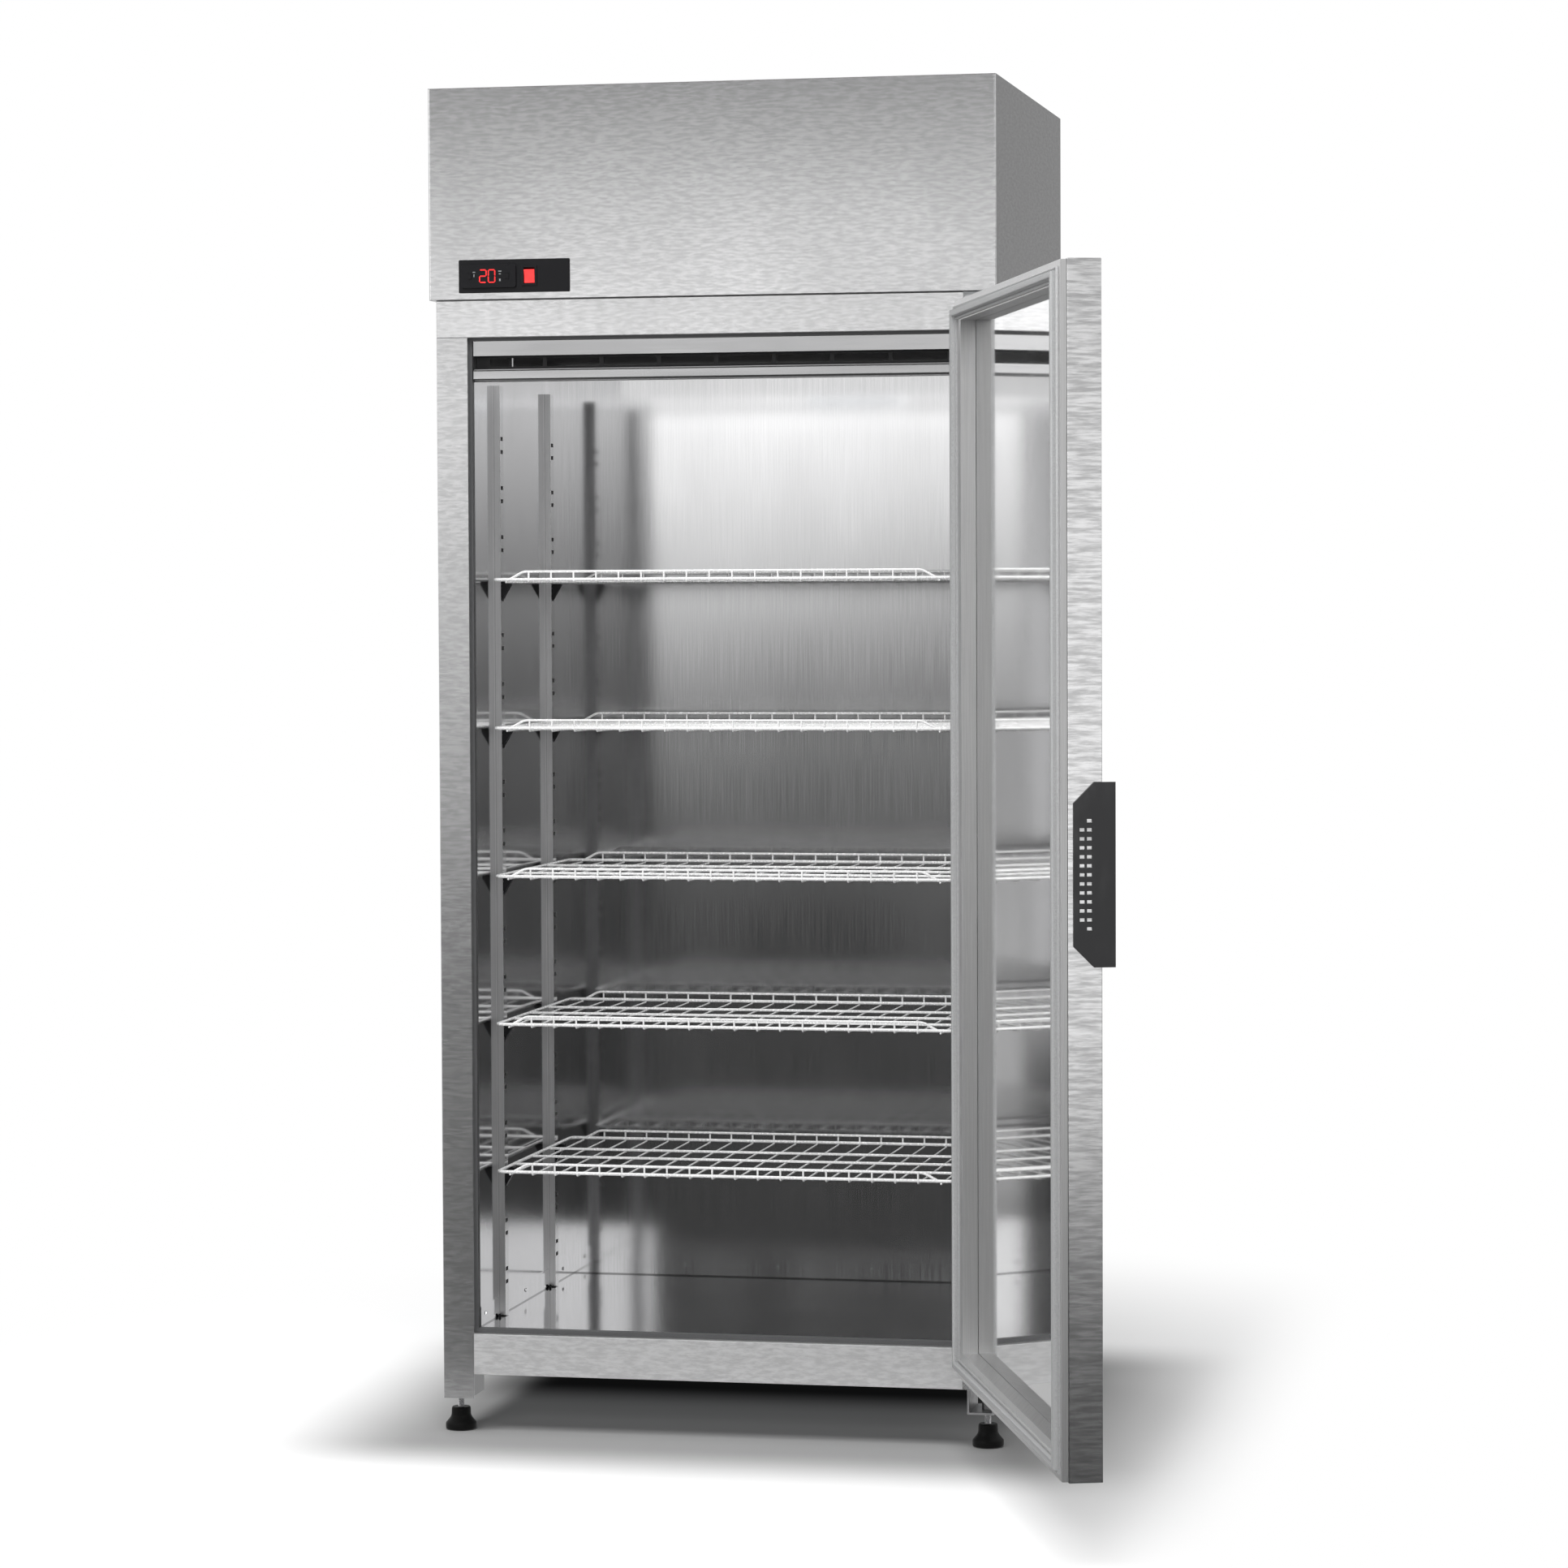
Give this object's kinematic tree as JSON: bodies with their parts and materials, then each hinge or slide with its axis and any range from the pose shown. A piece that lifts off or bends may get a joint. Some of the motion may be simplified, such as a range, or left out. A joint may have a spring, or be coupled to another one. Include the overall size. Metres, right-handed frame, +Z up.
{
  "type": "upright refrigerator",
  "caption": "Upright stainless-steel commercial refrigerator standing open: glazed door, wire shelves on slotted rails, cooling unit in a hood on top, levelling feet.",
  "frame": {"origin": "centre of the cabinet's footprint, on the floor under the feet", "axes": "+Z up, -Y the way the front faces, +X the right-hand side seen from the front"},
  "size_m": [1.1406, 1.4663, 2.027],
  "materials": {
    "brushed_shell": "satin",
    "plain_steel": "matte",
    "polished_lining": "polished",
    "satin_cover": "satin",
    "foam": "matte",
    "grey_plastic": "matte",
    "black_plastic": "satin",
    "black_metal": "satin",
    "hinge_steel": "satin",
    "seal_rubber": "matte",
    "foot_rubber": "matte",
    "tinted_glass": "polished",
    "chromed_wire": "polished",
    "coil_fins": "satin",
    "copper": "satin",
    "lamp_lens": "gloss",
    "red_rocker": "gloss"
  },
  "bodies": {
    "cabinet": {"left_side_panel": "brushed_shell", "right_side_panel": "brushed_shell", "header_panel": "brushed_shell", "sill_panel": "brushed_shell", "hood_cover": "brushed_shell", "hood_top": "brushed_shell", "back_panel": "plain_steel", "underside_panel": "plain_steel", "roof_panel": "plain_steel", "rear_grille": "plain_steel", "duct_fan_mount": "plain_steel", "condenser_shroud": "plain_steel", "leg_brackets": "plain_steel", "liner_walls": "polished_lining", "liner_floor": "polished_lining", "liner_ceiling": "polished_lining", "air_duct": "polished_lining", "rail_left_front": "polished_lining", "rail_left_rear": "polished_lining", "rail_right_front": "polished_lining", "rail_right_rear": "polished_lining", "liner_rivets": "polished_lining", "insulation": "foam", "evaporator_box": "foam", "breaker_frame": "grey_plastic", "shelf_clips": "black_plastic", "control_plate": "black_plastic", "thermostat": "black_plastic", "switch_housing": "black_plastic", "top_vent": "black_plastic", "power_inlet": "black_plastic", "compressor": "black_metal", "top_hinge": "hinge_steel", "bottom_hinge": "hinge_steel", "evaporator_coil": "coil_fins", "condenser": "coil_fins", "refrigerant_pipes": "copper", "cavity_lamp": "lamp_lens"},
    "door": {"door_frame": "brushed_shell", "door_cover": "satin_cover", "door_gasket": "seal_rubber", "outer_glass": "tinted_glass", "inner_glass": "tinted_glass", "glass_spacer": "grey_plastic", "handle_plate": "black_metal", "hinge_bushes": "grey_plastic"},
    "shelf_1": {"wire_shelf_1": "chromed_wire"},
    "shelf_2": {"wire_shelf_2": "chromed_wire"},
    "shelf_3": {"wire_shelf_3": "chromed_wire"},
    "shelf_4": {"wire_shelf_4": "chromed_wire"},
    "shelf_5": {"wire_shelf_5": "chromed_wire"},
    "left_key": {"left_key": "black_plastic"},
    "right_key": {"right_key": "black_plastic"},
    "rocker": {"rocker": "red_rocker"},
    "duct_fan": {"duct_fan": "black_plastic"},
    "condenser_fan": {"condenser_fan": "black_plastic"},
    "foot_left_front": {"foot_left_front": "foot_rubber"},
    "foot_right_front": {"foot_right_front": "foot_rubber"},
    "foot_left_rear": {"foot_left_rear": "foot_rubber"},
    "foot_right_rear": {"foot_right_rear": "foot_rubber"}
  },
  "joints": [
    {"name": "door_hinge", "type": "hinge", "parent": "cabinet", "child": "door", "pos_m": [0.4033, -0.3611, 0.9], "axis": [0, 0, 1], "range_deg": [-109, 16]},
    {"name": "shelf_1_lift", "type": "slide", "parent": "cabinet", "child": "shelf_1", "axis": [0, 0, 1], "range_m": [0, 0.04]},
    {"name": "shelf_2_lift", "type": "slide", "parent": "cabinet", "child": "shelf_2", "axis": [0, 0, 1], "range_m": [0, 0.04]},
    {"name": "shelf_3_lift", "type": "slide", "parent": "cabinet", "child": "shelf_3", "axis": [0, 0, 1], "range_m": [0, 0.04]},
    {"name": "shelf_4_lift", "type": "slide", "parent": "cabinet", "child": "shelf_4", "axis": [0, 0, 1], "range_m": [0, 0.04]},
    {"name": "shelf_5_lift", "type": "slide", "parent": "cabinet", "child": "shelf_5", "axis": [0, 0, 1], "range_m": [0, 0.04]},
    {"name": "left_key_press", "type": "slide", "parent": "cabinet", "child": "left_key", "axis": [0, 1, 0], "range_m": [0, 0.001], "stiffness_N_per_m": 800},
    {"name": "right_key_press", "type": "slide", "parent": "cabinet", "child": "right_key", "axis": [0, 1, 0], "range_m": [0, 0.001], "stiffness_N_per_m": 800},
    {"name": "rocker_pivot", "type": "hinge", "parent": "cabinet", "child": "rocker", "pos_m": [-0.274, -0.328, 1.74375], "axis": [1, 0, 0], "range_deg": [-20, 0]},
    {"name": "duct_fan_shaft", "type": "hinge", "parent": "cabinet", "child": "duct_fan", "pos_m": [0, -0.16, 1.69], "axis": [0, 0, 1], "continuous": true},
    {"name": "condenser_fan_shaft", "type": "hinge", "parent": "cabinet", "child": "condenser_fan", "pos_m": [-0.23, 0.234, 1.845], "axis": [0, 1, 0], "continuous": true},
    {"name": "foot_left_front_thread", "type": "slide", "parent": "cabinet", "child": "foot_left_front", "axis": [0, 0, 1], "range_m": [-0.012, 0.006]},
    {"name": "foot_right_front_thread", "type": "slide", "parent": "cabinet", "child": "foot_right_front", "axis": [0, 0, 1], "range_m": [-0.012, 0.006]},
    {"name": "foot_left_rear_thread", "type": "slide", "parent": "cabinet", "child": "foot_left_rear", "axis": [0, 0, 1], "range_m": [-0.012, 0.006]},
    {"name": "foot_right_rear_thread", "type": "slide", "parent": "cabinet", "child": "foot_right_rear", "axis": [0, 0, 1], "range_m": [-0.012, 0.006]}
  ]
}
